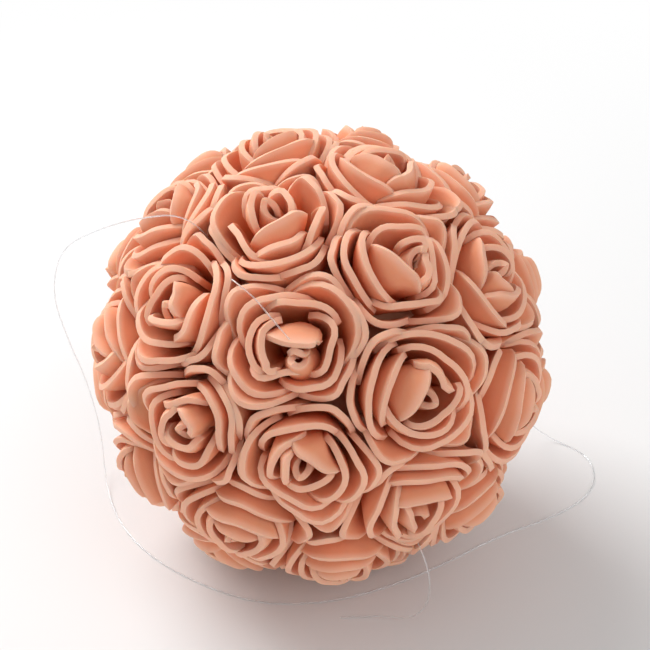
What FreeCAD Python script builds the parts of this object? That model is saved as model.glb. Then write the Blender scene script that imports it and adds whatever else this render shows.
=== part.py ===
import FreeCAD, Part
import math
import os

# Hanging flower ball: a round foam core covered all over with foam-sheet roses. Each rose is a rolled bud in
# three layers of curved petals on a small base, and stands on a pointed wire stem pushed into the core. A thin
# clear thread hangs out of the gaps between the roses. The ball rests on its three lowest roses.
# Sizes are millimetres. The origin is on the floor under the middle of the ball, +Z is up, and azimuth 0 faces -Y.

# Foam sheet and the room left between its pieces
petal_thickness = 1.5
petal_gap = 0.18
rose_gap = 0.3

# Bud rolled up at the middle of each rose
bud_foot_diameter = 3.0
bud_belly_diameter = 2.8
bud_tip_diameter = 1.6
bud_tip_bevel = 0.5

# Heights on a rose, from the face that sits on the core
calyx_height = 3.0
belly_height = 9.0
inner_rim_height = 18.6
middle_rim_height = 17.0
outer_rim_height = 14.5
rose_height = 20.0

# Petals of the two closed layers: how many, and the angle that one spans at its foot, belly and rim
inner_count = 3
inner_spans = (108.0, 134.0, 84.0)
middle_count = 3
middle_spans = (108.0, 134.0, 92.0)
middle_turn = 62.0

# Outer petals, one for each corner between two neighbouring roses. At foot, belly and rim: the share of its sector
# that one spans, and how far its first edge lies inside the ring and its last edge outside. Then the share of the
# corner that its middle reaches into, the least angle between two corners, and how finely a petal is fitted in.
outer_shares = (0.92, 1.08, 0.64)
outer_creeps = (0.7, 0.97, 0.2)
corner_share = 0.34
closest_corners = 30.0
arc_samples = 15
fitting_step = 0.1

# Rim radii of the two closed layers, and the slack that opens the layers of the tightest rose at its belly
inner_rim_radius = 3.1
middle_rim_radius = 7.7
layer_slack = 0.75
middle_slack_share = 0.4

# Base of a rose, its stem, and the stem's holes
calyx_seat_diameter = 8.0
stem_diameter = 1.2
stem_in_core = 13.0
stem_in_calyx = 1.8
stem_point = 2.4
stem_clearance = 0.1

# Clear thread
thread_diameter = 0.35
thread_in_core = 4.0
thread_clearance = 0.2
thread_above_floor = 0.05

# Standing: three roses this far from the bottom point carry the ball, and are pressed flat by this much
foot_rose_count = 3
foot_rose_angle = 19.5
first_foot_azimuth = 20.0
pressed_flat = 0.6

# Roses whose places show from the front: azimuth, elevation, and the way that the first inner petal leans in
front_roses = [
    (-8, 35, 90),
    (-28, 66, 270),
    (32, 51, 225),
    (71, 34, 270),
    (-52, 35, 45),
    (26, 19, 190),
    (-36, 8, 0),
    (-3, 3, 120),
    (62, 2, 150),
    (25, -13, 200),
    (-23, -21, 80),
    (8, -40, 100),
    (53, -30, 120),
    (91, -12, 60),
    (103, 17, 170),
    (112, 46, 250),
    (82, 73, 20),
    (158, 57, 130),
    (-134, 73, 310),
    (-136, 42, 30),
    (-90, 48, 200),
    (-107, 19, 300),
    (-75, 12, 70),
    (-93, -12, 160),
    (-59, -18, 10),
    (-42, -48, 240),
]
hidden_rose_count = 13
widest_neighbour = 70.0
hidden_rose_turn = 137.5


def direction(azimuth, elevation):
    """Unit vector from the middle of the ball."""
    across = math.cos(math.radians(elevation))
    x = across * math.sin(math.radians(azimuth))
    y = -across * math.cos(math.radians(azimuth))
    return FreeCAD.Vector(x, y, math.sin(math.radians(elevation)))


def spread_hidden(fixed, count):
    """Places for the roses at the back: each new one takes the emptiest spot, then all of them drift apart."""
    sky = []
    for index in range(600):
        height = 1.0 - 2.0 * (index + 0.5) / 600
        turn = index * math.radians(137.508)
        across = math.sqrt(1.0 - height * height)
        sky.append(FreeCAD.Vector(across * math.cos(turn), across * math.sin(turn), height))
    placed = []
    for index in range(count):
        emptiest = max(sky, key=lambda spot: min((spot - other).Length for other in fixed + placed))
        placed.append(emptiest)
    for step in range(120):
        for index in range(count):
            push = FreeCAD.Vector(0, 0, 0)
            for other in fixed + placed[:index] + placed[index + 1:]:
                apart = placed[index] - other
                push += apart * (0.6 / apart.Length) ** 12
            push *= min(1.0, 0.02 / max(push.Length, 1e-9))
            placed[index] = (placed[index] + push).normalize()
    return placed


def rose_axes():
    """Axis and turn of every rose: those in front, the three that the ball stands on, and those at the back."""
    axes = [(direction(azimuth, elevation), turn) for azimuth, elevation, turn in front_roses]
    for index in range(foot_rose_count):
        azimuth = first_foot_azimuth + 360.0 / foot_rose_count * index
        axes.append((direction(azimuth, foot_rose_angle - 90), 50.0 * index))
    known = [axis for axis, turn in axes]
    for index, axis in enumerate(spread_hidden(known, hidden_rose_count)):
        axes.append((axis, hidden_rose_turn * index))
    return axes


def tightest_half_angle(axes):
    """Half of the angle between the two roses that are nearest to each other."""
    apart = []
    for index, (axis, turn) in enumerate(axes):
        apart += [axis.getAngle(other) for other, turn in axes[:index]]
    return min(apart) / 2


def layer_slope(count):
    """Outward creep of a petal per degree, so that it clears the next petal of its layer where they overlap."""
    return (petal_thickness + petal_gap) / (360.0 / count)


def layer_width(count, span):
    """Radial room that a layer takes at one height."""
    return petal_thickness + layer_slope(count) * span


def stack(level):
    """Radius of the bud and widths of the inner, middle and outer layers at the foot (0) or belly (1)."""
    bud = (bud_foot_diameter, bud_belly_diameter)[level] / 2
    inner = layer_width(inner_count, inner_spans[level])
    middle = layer_width(middle_count, middle_spans[level])
    outer = petal_thickness + 2 * outer_creeps[level]
    return bud, inner, middle, outer


def stack_radius(level):
    """Outer radius of a rose whose layers lie close together."""
    return sum(stack(level)) + 3 * petal_gap


tightest = tightest_half_angle(rose_axes())
foot_reach = (stack_radius(0) + rose_gap / 2) / math.tan(tightest) - calyx_height
belly_reach = (stack_radius(1) + layer_slack + rose_gap / 2) / math.tan(tightest) - belly_height
core_radius = max(foot_reach, belly_reach)
ball_radius = core_radius + rose_height
ball_height = ball_radius * math.cos(math.radians(foot_rose_angle)) - pressed_flat
middle_of_ball = FreeCAD.Vector(0, 0, ball_height)


def petal_section(height, angles, reaches):
    """Outline of a curved petal at one height: two arcs through three places, closed by the sheet's two edges."""
    corners = []
    for side in (-0.5, 0.5):
        for angle, reach in zip(angles, reaches):
            wide = reach + side * petal_thickness
            x = wide * math.cos(math.radians(angle))
            corners.append(FreeCAD.Vector(x, wide * math.sin(math.radians(angle)), height))
    inside = Part.Arc(corners[0], corners[1], corners[2]).toShape()
    last = Part.makeLine(corners[2], corners[5])
    outside = Part.Arc(corners[5], corners[4], corners[3]).toShape()
    first = Part.makeLine(corners[3], corners[0])
    return Part.Wire([inside, last, outside, first])


def petal(middle, spans, radii, rim_height, slope):
    """One petal of foam sheet, lofted through its foot, its wide belly and its narrow rim."""
    heights = (calyx_height, belly_height, rim_height)
    sections = []
    for height, span, radius in zip(heights, spans, radii):
        angles = [middle + step * span for step in (-0.5, 0.0, 0.5)]
        reaches = [radius + slope * step * span for step in (-0.5, 0.0, 0.5)]
        sections.append(petal_section(height, angles, reaches))
    return Part.makeLoft(sections, True, True)


def petal_layer(count, first, spans, radii, rim_height):
    """A ring of equal petals, each overlapping the next."""
    slope = layer_slope(count)
    return [petal(first + 360.0 / count * index, spans, radii, rim_height, slope) for index in range(count)]


def room(near, azimuth, height):
    """Distance from a rose's axis to the nearest plane half-way to a neighbour, less half of the gap."""
    reaches = []
    for toward, half in near:
        ahead = math.cos(math.radians(azimuth - toward))
        if ahead > 0.1:
            reaches.append(((core_radius + height) * math.tan(half) - rose_gap / 2) / ahead)
    return min(reaches)


def find_corners(near):
    """Azimuths at which the room reaches furthest, between two neighbours each time."""
    rooms = [room(near, 3 * step, outer_rim_height) for step in range(120)]
    corners = []
    for step, here in enumerate(rooms):
        peak = here >= rooms[step - 1] and here > rooms[(step + 1) % 120]
        if peak and not (corners and 3 * step - corners[-1] < closest_corners):
            corners.append(3 * step)
    if corners[0] + 360 - corners[-1] < closest_corners:
        corners.pop()
    return corners


def side_room(near, azimuth, height):
    """Least room for the middle of the sheet beside one edge of an outer petal."""
    return min(room(near, azimuth + step, height) for step in (-3, 0, 3)) - petal_thickness / 2


def keeps_clear(near, angles, reaches, height):
    """Whether the outside of a petal's section stays on its rose's side of every plane."""
    places = []
    for angle, reach in zip(angles, reaches):
        x = (reach + petal_thickness / 2) * math.cos(math.radians(angle))
        y = (reach + petal_thickness / 2) * math.sin(math.radians(angle))
        places.append(FreeCAD.Vector(x, y, 0))
    outside = Part.Arc(*places).toShape()
    for spot in outside.discretize(arc_samples):
        azimuth = math.degrees(math.atan2(spot.y, spot.x))
        if spot.Length > room(near, azimuth, height) + 1e-6:
            return False
    return True


def outer_reaches(near, angles, height, creep):
    """Reach of an outer petal's first edge, middle and last edge, as far out as the neighbours leave room."""
    first_room = side_room(near, angles[0], height) - creep
    last_room = side_room(near, angles[2], height) - creep
    ring = max(first_room, last_room)
    corner_room = room(near, angles[1], height) - petal_thickness / 2
    reaches = [first_room - creep, ring + corner_share * max(0.0, corner_room - ring), last_room + creep]
    while not keeps_clear(near, angles, reaches, height):
        reaches[1] -= fitting_step
        if reaches[1] < (reaches[0] + reaches[2]) / 2:
            reaches = [reach - fitting_step for reach in reaches]
    return reaches


def outer_petal(near, before, corner, after, foot_reach):
    """One outer petal: its sector runs from one neighbour to the next, with its middle in the corner between them."""
    sections = []
    for height, share, creep in zip((calyx_height, belly_height, outer_rim_height), outer_shares, outer_creeps):
        angles = [corner + share * (before - corner), corner, corner + share * (after - corner)]
        if height == calyx_height:
            reaches = [foot_reach - creep, foot_reach, foot_reach + creep]
        else:
            reaches = outer_reaches(near, angles, height, creep)
        sections.append(petal_section(height, angles, reaches))
    return Part.makeLoft(sections, True, True)


def outer_layer(near, foot_reach):
    """The outer ring, one petal for each corner, each overlapping the next at the belly."""
    corners = find_corners(near)
    petals = []
    for index, corner in enumerate(corners):
        before = corner - (corner - corners[index - 1]) % 360 / 2
        after = corner + (corners[(index + 1) % len(corners)] - corner) % 360 / 2
        petals.append(outer_petal(near, before, corner, after, foot_reach))
    return petals


def make_bud():
    """Tightly rolled middle of a rose, with a bevelled tip."""
    profile = [
        FreeCAD.Vector(0, 0, calyx_height),
        FreeCAD.Vector(bud_foot_diameter / 2, 0, calyx_height),
        FreeCAD.Vector(bud_belly_diameter / 2, 0, belly_height),
        FreeCAD.Vector(bud_tip_diameter / 2, 0, rose_height - bud_tip_bevel),
        FreeCAD.Vector(bud_tip_diameter / 2 - bud_tip_bevel, 0, rose_height),
        FreeCAD.Vector(0, 0, rose_height),
    ]
    outline = Part.makePolygon(profile + profile[:1])
    return Part.Face(outline).revolve(FreeCAD.Vector(0, 0, 0), FreeCAD.Vector(0, 0, 1), 360)


def make_calyx(radius):
    """Base that the petals stand on, with the hole for the stem's end."""
    body = Part.makeCone(calyx_seat_diameter / 2, radius, calyx_height)
    hole = Part.makeCylinder(stem_diameter / 2 + stem_clearance, stem_in_calyx)
    return body.cut(hole)


def make_rose(near):
    """One rose about +Z, its seat at height 0, kept inside the planes half-way to its neighbours."""
    half_angle = min(half for toward, half in near)
    foot_bud, foot_inner, foot_middle, foot_outer = stack(0)
    belly_bud, belly_inner, belly_middle = stack(1)[:3]
    belly_room = (core_radius + belly_height) * math.tan(half_angle) - rose_gap / 2
    slack = belly_room - stack_radius(1)

    inner_foot = foot_bud + petal_gap + foot_inner / 2
    middle_foot = foot_bud + foot_inner + 2 * petal_gap + foot_middle / 2
    outer_foot = stack_radius(0) - foot_outer / 2
    inner_belly = belly_bud + petal_gap + belly_inner / 2
    middle_tight = belly_bud + belly_inner + 2 * petal_gap + belly_middle / 2
    middle_belly = middle_tight + middle_slack_share * slack

    pieces = [make_calyx(stack_radius(0)), make_bud()]
    inner = (inner_foot, inner_belly, inner_rim_radius)
    pieces += petal_layer(inner_count, 0, inner_spans, inner, inner_rim_height)
    middle = (middle_foot, middle_belly, middle_rim_radius)
    pieces += petal_layer(middle_count, middle_turn, middle_spans, middle, middle_rim_height)
    return pieces + outer_layer(near, outer_foot)


def on_ball(axis, turn, distance):
    """Placement with +Z along a rose's axis, at a distance from the middle of the ball, turned about the axis."""
    north = (FreeCAD.Vector(0, 0, 1) - axis * axis.z).normalize()
    east = north.cross(axis)
    upright = FreeCAD.Rotation(east, north, axis, "ZYX")
    return FreeCAD.Placement(middle_of_ball + axis * distance, upright * FreeCAD.Rotation(FreeCAD.Vector(0, 0, 1), turn))


def press_flat(piece):
    """Takes off what a rose would have below the floor, as the soft rose is pressed flat there."""
    below = Part.makeBox(4 * ball_radius, 4 * ball_radius, ball_radius)
    below.translate(FreeCAD.Vector(-2 * ball_radius, -2 * ball_radius, -ball_radius))
    return piece.cut(below).Solids[0]


def neighbours(axes, index):
    """Azimuth on a rose's own seat, and half of the angle, to each of the roses near it."""
    axis, turn = axes[index]
    seat = on_ball(axis, turn, core_radius).Rotation.inverted()
    near = []
    for other, other_turn in axes[:index] + axes[index + 1:]:
        local = seat.multVec(other)
        if axis.getAngle(other) < math.radians(widest_neighbour):
            near.append((math.degrees(math.atan2(local.y, local.x)), axis.getAngle(other) / 2))
    return near


def place_rose(axes, index):
    """All pieces of one rose in their place on the ball."""
    axis, turn = axes[index]
    placement = on_ball(axis, turn, core_radius)
    placed = []
    for piece in make_rose(neighbours(axes, index)):
        piece = piece.copy()
        piece.transformShape(placement.toMatrix())
        if piece.BoundBox.ZMin < 0:
            piece = press_flat(piece)
        placed.append(piece)
    return placed


def make_stem(axis):
    """Straight wire, pointed at its inner end."""
    straight = Part.makeCylinder(stem_diameter / 2, stem_in_core + stem_in_calyx - stem_point)
    straight.translate(FreeCAD.Vector(0, 0, stem_point - stem_in_core))
    point = Part.makeCone(0, stem_diameter / 2, stem_point)
    point.translate(FreeCAD.Vector(0, 0, -stem_in_core))
    stem = straight.fuse(point).removeSplitter()
    stem.transformShape(on_ball(axis, 0, core_radius).toMatrix())
    return stem


def make_core(axes, thread_axes):
    """Foam ball with a blind hole for each stem and for each end of the thread."""
    holes = []
    for axis, turn in axes:
        hole = Part.makeCylinder(stem_diameter / 2 + stem_clearance, stem_in_core + stem_clearance + 1)
        hole.transformShape(on_ball(axis, 0, core_radius - stem_in_core - stem_clearance).toMatrix())
        holes.append(hole)
    for axis in thread_axes:
        hole = Part.makeCylinder(thread_diameter / 2 + thread_clearance, thread_in_core + 1)
        hole.transformShape(on_ball(axis, 0, core_radius - thread_in_core).toMatrix())
        holes.append(hole)
    ball = Part.makeSphere(core_radius, middle_of_ball)
    return ball.cut(holes)


def gap_between_roses(axes, wanted):
    """The direction, near the wanted one, that is equally far from the three roses around it."""
    near = sorted((axis for axis, turn in axes), key=lambda axis: axis.getAngle(wanted))[:3]
    across = (near[1] - near[0]).cross(near[2] - near[0]).normalize()
    return across if across.dot(wanted) > 0 else across * -1


def out_of_gap(axis, lean):
    """First points of a thread: up from the bottom of its hole and out between the roses, leaning a little."""
    low = middle_of_ball + axis * (core_radius - thread_in_core + thread_clearance)
    half = middle_of_ball + axis * (core_radius + 0.4 * rose_height) + lean * 0.35
    top = middle_of_ball + axis * (ball_radius + 2.0)
    return [low, half, top]


def make_tube(name, points):
    """Thread laid along straight runs joined by tangent arcs, with its bend radii and length printed."""
    edges = []
    radii = []
    start = points[0]
    for before, corner, after in zip(points, points[1:], points[2:]):
        arriving = (corner - before).normalize()
        leaving = (after - corner).normalize()
        half_turn = arriving.getAngle(leaving) / 2
        setback = 0.45 * min((corner - before).Length, (after - corner).Length)
        radius = setback / math.tan(half_turn)
        inward = (leaving - arriving).normalize()
        middle = corner + inward * (radius / math.cos(half_turn) - radius)
        edges.append(Part.makeLine(start, corner - arriving * setback))
        edges.append(Part.Arc(corner - arriving * setback, middle, corner + leaving * setback).toShape())
        radii.append(round(radius, 1))
        start = corner + leaving * setback
    edges.append(Part.makeLine(start, points[-1]))
    path = Part.Wire(edges)
    section = Part.Wire(Part.makeCircle(thread_diameter / 2, points[0], points[1] - points[0]))
    tube = path.makePipeShell([section], True, False)
    plain = math.pi * thread_diameter ** 2 / 4 * path.Length
    print(name, "length", round(path.Length, 1), "volume over plain", round(tube.Volume / plain, 4), "radii", radii)
    return tube


def loop_points(start_axis, end_axis):
    """Hanging loop: out at the left, round through the air, down to the floor, past the front and back in."""
    floor = thread_diameter / 2 + thread_above_floor
    air = [
        (-42.0, -17.0, 104.0),
        (-54.0, -3.0, 93.5),
        (-65.0, 4.0, 84.5),
        (-69.5, 10.0, 68.0),
        (-68.5, 20.0, 48.0),
        (-66.0, 30.0, 28.0),
        (-63.0, 30.0, 10.0),
    ]
    laid = [
        (-61.0, 17.0),
        (-55.0, -1.0),
        (-45.0, -15.0),
        (-31.0, -26.0),
        (-15.0, -33.5),
        (3.0, -32.5),
        (19.0, -26.0),
        (34.0, -16.5),
        (48.5, -5.5),
        (66.0, 3.5),
        (78.0, 15.0),
        (79.0, 31.0),
        (68.0, 40.0),
    ]
    lifted = [(60.0, 38.0, 8.0), (59.0, 27.0, 20.0)]
    side = FreeCAD.Vector(1, 0, 0)
    points = out_of_gap(start_axis, side)
    points += [FreeCAD.Vector(x, y, z) for x, y, z in air]
    points += [FreeCAD.Vector(x, y, floor) for x, y in laid]
    points += [FreeCAD.Vector(x, y, z) for x, y, z in lifted]
    return points + out_of_gap(end_axis, side)[::-1]


def front_end_points(axis):
    """One cut end of the thread, out of the lower front and down to the floor."""
    floor = thread_diameter / 2 + thread_above_floor
    air = [(27.0, -47.0, 13.0), (23.0, -43.5, 4.0)]
    laid = [(15.0, -37.5), (5.0, -38.5)]
    points = out_of_gap(axis, FreeCAD.Vector(1, 0, 0))
    points += [FreeCAD.Vector(x, y, z) for x, y, z in air]
    return points + [FreeCAD.Vector(x, y, floor) for x, y in laid]


def top_end_points(axis, rose_axis):
    """The other cut end, out of the upper front and over the middle rose, with its tip on that rose's bud."""
    bend = [(-15.0, -43.5, 98.5), (-10.5, -47.5, 94.5)]
    tip = middle_of_ball + rose_axis * (ball_radius + thread_diameter / 2 + thread_above_floor)
    return out_of_gap(axis, FreeCAD.Vector(0, 0, 1)) + [FreeCAD.Vector(x, y, z) for x, y, z in bend] + [tip]


def write(name, solids):
    """Writes one sub-part, a solid or a group of separate solids."""
    shape = solids[0] if len(solids) == 1 else Part.makeCompound(solids)
    valid = all(solid.isValid() and solid.Volume > 0 for solid in solids)
    print(name, len(solids), "solids", "valid" if valid else "NOT VALID")
    shape.exportStep("parts/" + name + ".step")


def main():
    os.makedirs("parts", exist_ok=True)
    axes = rose_axes()
    print("core", round(2 * core_radius, 2), "ball", round(2 * ball_radius, 2), "height", round(ball_height, 2))

    loop_start = gap_between_roses(axes, direction(-60, 52))
    loop_end = gap_between_roses(axes, direction(110, -30))
    front_end = gap_between_roses(axes, direction(29, -31))
    top_end = gap_between_roses(axes, direction(-29, 47))

    write("foam_core", [make_core(axes, [loop_start, loop_end, front_end, top_end])])
    write("wire_stems", [make_stem(axis) for axis, turn in axes])
    for index in range(len(axes)):
        write("rose_%02d" % (index + 1), place_rose(axes, index))
    write("hanging_thread", [make_tube("hanging_thread", loop_points(loop_start, loop_end))])
    write("thread_front_end", [make_tube("thread_front_end", front_end_points(front_end))])
    top_points = top_end_points(top_end, axes[0][0])
    write("thread_top_end", [make_tube("thread_top_end", top_points)])


main()
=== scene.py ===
"""Foam rose ball: a craft ball covered with peach foam-sheet roses, with its clear hanging thread."""

import logging
import math
import random
from dataclasses import dataclass, field
from enum import Enum

import bmesh
import bpy
from mathutils import Matrix, Vector


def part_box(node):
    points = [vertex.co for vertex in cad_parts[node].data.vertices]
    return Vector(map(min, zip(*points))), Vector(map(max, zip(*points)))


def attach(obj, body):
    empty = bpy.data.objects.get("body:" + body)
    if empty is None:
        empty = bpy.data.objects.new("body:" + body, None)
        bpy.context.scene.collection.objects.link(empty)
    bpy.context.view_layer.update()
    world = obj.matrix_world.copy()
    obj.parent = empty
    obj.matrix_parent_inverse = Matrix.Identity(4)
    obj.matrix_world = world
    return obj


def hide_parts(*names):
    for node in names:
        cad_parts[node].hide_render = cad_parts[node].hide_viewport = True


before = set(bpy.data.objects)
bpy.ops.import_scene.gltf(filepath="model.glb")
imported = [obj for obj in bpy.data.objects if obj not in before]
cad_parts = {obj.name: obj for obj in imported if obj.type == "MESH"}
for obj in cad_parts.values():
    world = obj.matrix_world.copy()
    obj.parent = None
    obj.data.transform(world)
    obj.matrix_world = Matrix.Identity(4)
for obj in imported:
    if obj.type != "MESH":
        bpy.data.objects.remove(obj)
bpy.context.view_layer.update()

MM = 0.001
ROOT = "root"
FIRST_SEED = 40
BUD_SEED = 500
log = logging.getLogger("foam_rose_ball")

Colour = tuple[float, float, float, float]


class Layer(Enum):
    """Where a petal sits in its rose."""

    HEART = "heart"
    CUP = "cup"
    SKIRT = "skirt"


def add_object(name: str, data: bpy.types.ID) -> bpy.types.Object:
    """Puts a mesh, curve, lamp or camera into the scene.

    Args:
        name: The object's name.
        data: What it shows.

    Returns:
        The object.
    """
    made = bpy.data.objects.new(name, data)
    bpy.context.scene.collection.objects.link(made)
    return made


# Finishes


def add_socket(
    group: bpy.types.NodeTree,
    name: str,
    into: bool,
    kind: str,
    value: float | Colour | None = None,
) -> None:
    """Adds one socket to a shader group.

    Args:
        group: The node group.
        name: The socket's name.
        into: True for an input, False for an output.
        kind: Float, Color or Vector.
        value: Default of an input.
    """
    side = "INPUT" if into else "OUTPUT"
    socket = group.interface.new_socket(name=name, in_out=side, socket_type="NodeSocket" + kind)
    if value is not None:
        socket.default_value = value


def add_range(
    tree: bpy.types.NodeTree,
    value: bpy.types.NodeSocket,
    start: tuple[float, float] = (0.0, 1.0),
    end: tuple[float, float] = (0.0, 1.0),
    smooth: bool = False,
) -> bpy.types.NodeSocket:
    """Adds a node that carries a value from one range over to another.

    Args:
        tree: The node tree.
        value: The value.
        start: Its range.
        end: The range it is carried to.
        smooth: True for a soft start and stop.

    Returns:
        The new value.
    """
    carry = tree.nodes.new("ShaderNodeMapRange")
    if smooth:
        carry.interpolation_type = "SMOOTHSTEP"
    for name, number in zip(("From Min", "From Max", "To Min", "To Max"), (*start, *end)):
        carry.inputs[name].default_value = number
    tree.links.new(value, carry.inputs["Value"])
    return carry.outputs["Result"]


def add_blend(
    tree: bpy.types.NodeTree,
    share: bpy.types.NodeSocket,
    first: bpy.types.NodeSocket | Colour,
    second: bpy.types.NodeSocket | Colour,
) -> bpy.types.NodeSocket:
    """Adds a node that mixes two colours.

    Args:
        tree: The node tree.
        share: How much the second colour counts.
        first: First colour, plain or from another node.
        second: Second colour, in the same way.

    Returns:
        The mixed colour.
    """
    mix = tree.nodes.new("ShaderNodeMix")
    mix.data_type = "RGBA"
    tree.links.new(share, mix.inputs["Factor"])
    for entry, colour in ((mix.inputs[6], first), (mix.inputs[7], second)):
        if isinstance(colour, bpy.types.NodeSocket):
            tree.links.new(colour, entry)
        else:
            entry.default_value = colour
    return mix.outputs[2]


def foam_texture_group() -> bpy.types.NodeTree:
    """Builds the foam's shared effect: soft cloudy colour, painted crease shade low on each petal, a painted
    highlight along its rim, and the small pores of closed-cell foam.

    Returns:
        A node group that puts out a colour, a roughness and a height for the bump.
    """
    name = "closed_cell_foam"
    if name in bpy.data.node_groups:
        return bpy.data.node_groups[name]
    group = bpy.data.node_groups.new(name, "ShaderNodeTree")
    add_socket(group, "Painted Crease Shade", True, "Color", (0.7, 0.2, 0.1, 1.0))
    add_socket(group, "Face", True, "Color", (0.8, 0.35, 0.2, 1.0))
    add_socket(group, "Rim", True, "Color", (0.9, 0.5, 0.35, 1.0))
    add_socket(group, "Reach", True, "Float", 0.5)
    add_socket(group, "Cloud Scale", True, "Float", 60.0)
    add_socket(group, "Pore Scale", True, "Float", 1400.0)
    add_socket(group, "Color", False, "Color")
    add_socket(group, "Roughness", False, "Float")
    add_socket(group, "Height", False, "Float")
    nodes, links = group.nodes, group.links
    entry = nodes.new("NodeGroupInput")
    leave = nodes.new("NodeGroupOutput")
    place = nodes.new("ShaderNodeTexCoord")

    cloud = nodes.new("ShaderNodeTexNoise")
    cloud.inputs["Detail"].default_value = 3.0
    links.new(place.outputs["Object"], cloud.inputs["Vector"])
    links.new(entry.outputs["Cloud Scale"], cloud.inputs["Scale"])

    # Painted crease shade: darker, more saturated colour at the petals' feet, fading to the face colour up
    # the petal.
    out_of_crease_shade = add_range(group, entry.outputs["Reach"], start=(0.15, 0.75), smooth=True)
    body = add_blend(group, out_of_crease_shade, entry.outputs["Painted Crease Shade"], entry.outputs["Face"])
    # Painted highlight: paler colour along the petals' cut rims.
    rim_highlight_share = add_range(group, entry.outputs["Reach"], start=(0.86, 1.0), smooth=True)
    rim_highlighted = add_blend(group, rim_highlight_share, body, entry.outputs["Rim"])
    tinted = nodes.new("ShaderNodeVectorMath")
    tinted.operation = "SCALE"
    links.new(rim_highlighted, tinted.inputs[0])
    shade = add_range(group, cloud.outputs["Fac"], start=(0.3, 0.7), end=(0.93, 1.05))
    links.new(shade, tinted.inputs["Scale"])
    links.new(tinted.outputs["Vector"], leave.inputs["Color"])

    pore = nodes.new("ShaderNodeTexVoronoi")
    pore.feature = "F1"
    links.new(place.outputs["Object"], pore.inputs["Vector"])
    links.new(entry.outputs["Pore Scale"], pore.inputs["Scale"])
    pit = add_range(group, pore.outputs["Distance"], start=(0.05, 0.35))
    fine = nodes.new("ShaderNodeTexNoise")
    fine.inputs["Scale"].default_value = 900.0
    fine.inputs["Detail"].default_value = 4.0
    links.new(place.outputs["Object"], fine.inputs["Vector"])
    relief = nodes.new("ShaderNodeMath")
    relief.operation = "MULTIPLY_ADD"
    relief.inputs[1].default_value = 0.35
    links.new(pit, relief.inputs[0])
    links.new(fine.outputs["Fac"], relief.inputs[2])
    links.new(relief.outputs["Value"], leave.inputs["Height"])

    dull = add_range(group, fine.outputs["Fac"], start=(0.3, 0.7), end=(0.66, 0.84))
    links.new(dull, leave.inputs["Roughness"])
    return group


@dataclass(frozen=True)
class FoamFinish:
    """Soft closed-cell foam sheet, with painted crease shade at the petals' feet and a painted highlight
    along their cut rims.
    """

    name: str
    # Painted crease shade at the petals' feet.
    painted_crease_shade: Colour
    face: Colour
    # Painted highlight along the petals' cut rims.
    rim: Colour
    painted_light_attribute: str = "reach"
    subsurface: float = 0.3
    subsurface_scale: float = 0.003
    pore_scale: float = 1400.0
    bump: float = 0.12

    def build(self) -> bpy.types.Material:
        """Returns the finish as a node material."""
        material = bpy.data.materials.new(self.name)
        material.use_nodes = True
        nodes, links = material.node_tree.nodes, material.node_tree.links
        shader = nodes["Principled BSDF"]
        foam = nodes.new("ShaderNodeGroup")
        foam.node_tree = foam_texture_group()
        foam.inputs["Painted Crease Shade"].default_value = self.painted_crease_shade
        foam.inputs["Face"].default_value = self.face
        foam.inputs["Rim"].default_value = self.rim
        foam.inputs["Pore Scale"].default_value = self.pore_scale
        # How far up its petal a point lies: the mask for the painted crease shade and the painted rim
        # highlight.
        reach = nodes.new("ShaderNodeAttribute")
        reach.attribute_name = self.painted_light_attribute
        links.new(reach.outputs["Fac"], foam.inputs["Reach"])
        links.new(foam.outputs["Color"], shader.inputs["Base Color"])
        links.new(foam.outputs["Roughness"], shader.inputs["Roughness"])
        bump = nodes.new("ShaderNodeBump")
        bump.inputs["Strength"].default_value = self.bump
        bump.inputs["Distance"].default_value = 0.0004
        links.new(foam.outputs["Height"], bump.inputs["Height"])
        links.new(bump.outputs["Normal"], shader.inputs["Normal"])
        shader.inputs["Specular IOR Level"].default_value = 0.3
        shader.inputs["Subsurface Weight"].default_value = self.subsurface
        shader.inputs["Subsurface Radius"].default_value = (1.0, 0.42, 0.22)
        shader.inputs["Subsurface Scale"].default_value = self.subsurface_scale
        return material


@dataclass(frozen=True)
class PlainFinish:
    """A finish with one texture: noise in its colour and roughness."""

    name: str
    dark: Colour
    light: Colour
    grain_scale: float
    roughness: float
    roughness_play: float = 0.08
    metallic: float = 0.0
    bump: float = 0.1

    def build(self) -> bpy.types.Material:
        """Returns the finish as a node material."""
        material = bpy.data.materials.new(self.name)
        material.use_nodes = True
        nodes, links = material.node_tree.nodes, material.node_tree.links
        shader = nodes["Principled BSDF"]
        place = nodes.new("ShaderNodeTexCoord")
        grain = nodes.new("ShaderNodeTexNoise")
        grain.inputs["Scale"].default_value = self.grain_scale
        grain.inputs["Detail"].default_value = 4.0
        links.new(place.outputs["Object"], grain.inputs["Vector"])
        tree = material.node_tree
        colour = add_blend(tree, grain.outputs["Fac"], self.dark, self.light)
        links.new(colour, shader.inputs["Base Color"])
        span = (self.roughness - self.roughness_play, self.roughness + self.roughness_play)
        links.new(add_range(tree, grain.outputs["Fac"], end=span), shader.inputs["Roughness"])
        bump = nodes.new("ShaderNodeBump")
        bump.inputs["Strength"].default_value = self.bump
        bump.inputs["Distance"].default_value = 0.0003
        links.new(grain.outputs["Fac"], bump.inputs["Height"])
        links.new(bump.outputs["Normal"], shader.inputs["Normal"])
        shader.inputs["Metallic"].default_value = self.metallic
        return material


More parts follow.
